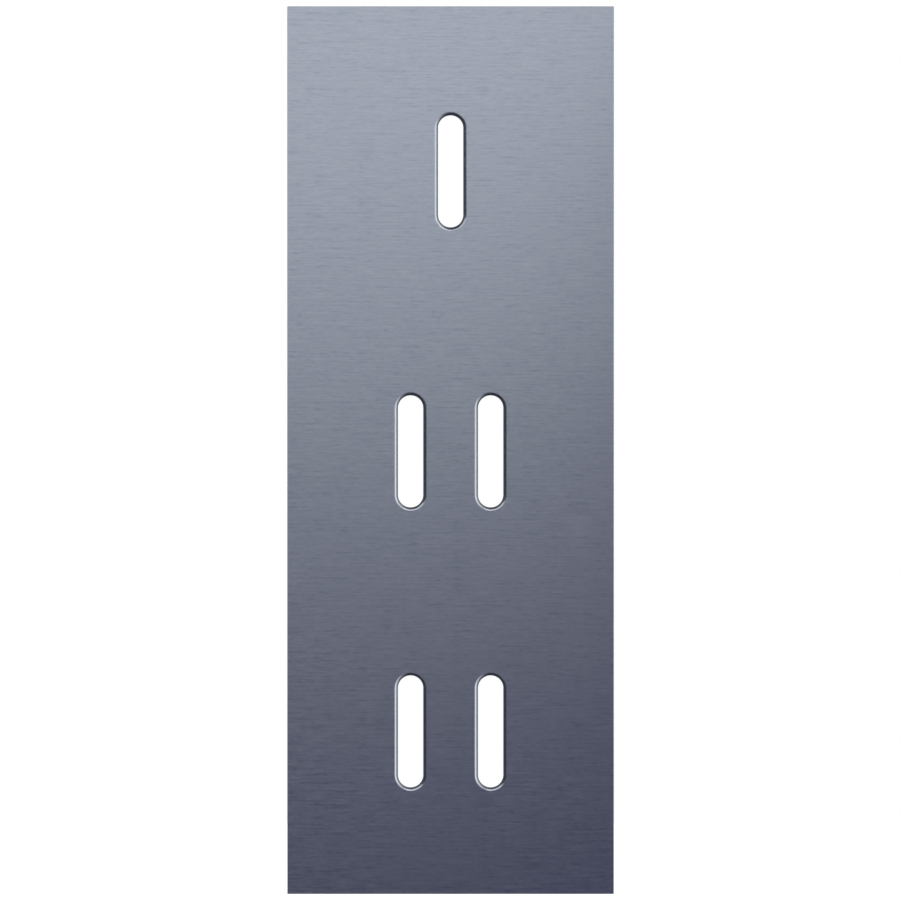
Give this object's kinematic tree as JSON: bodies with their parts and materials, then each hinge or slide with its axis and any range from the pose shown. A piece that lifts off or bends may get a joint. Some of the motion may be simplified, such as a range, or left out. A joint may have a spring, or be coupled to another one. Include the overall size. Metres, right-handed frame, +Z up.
{
  "type": "switch plate",
  "caption": "Tall flat metal cover plate with upright round-ended slots for switch levers and a hollow back that closes over a wall frame.",
  "frame": {"origin": "centre of the plate's outline on the wall plane, in the middle of the hollow back's mouth", "axes": "+X across the plate, to the right as seen from the front; +Y into the wall, so the front faces -Y; +Z up"},
  "size_m": [0.0828, 0.006, 0.225],
  "materials": {
    "brushed_metal": "brushed across, blue-grey anodised"
  },
  "bodies": {
    "root": {"cover_plate": "brushed_metal"}
  },
  "joints": []
}
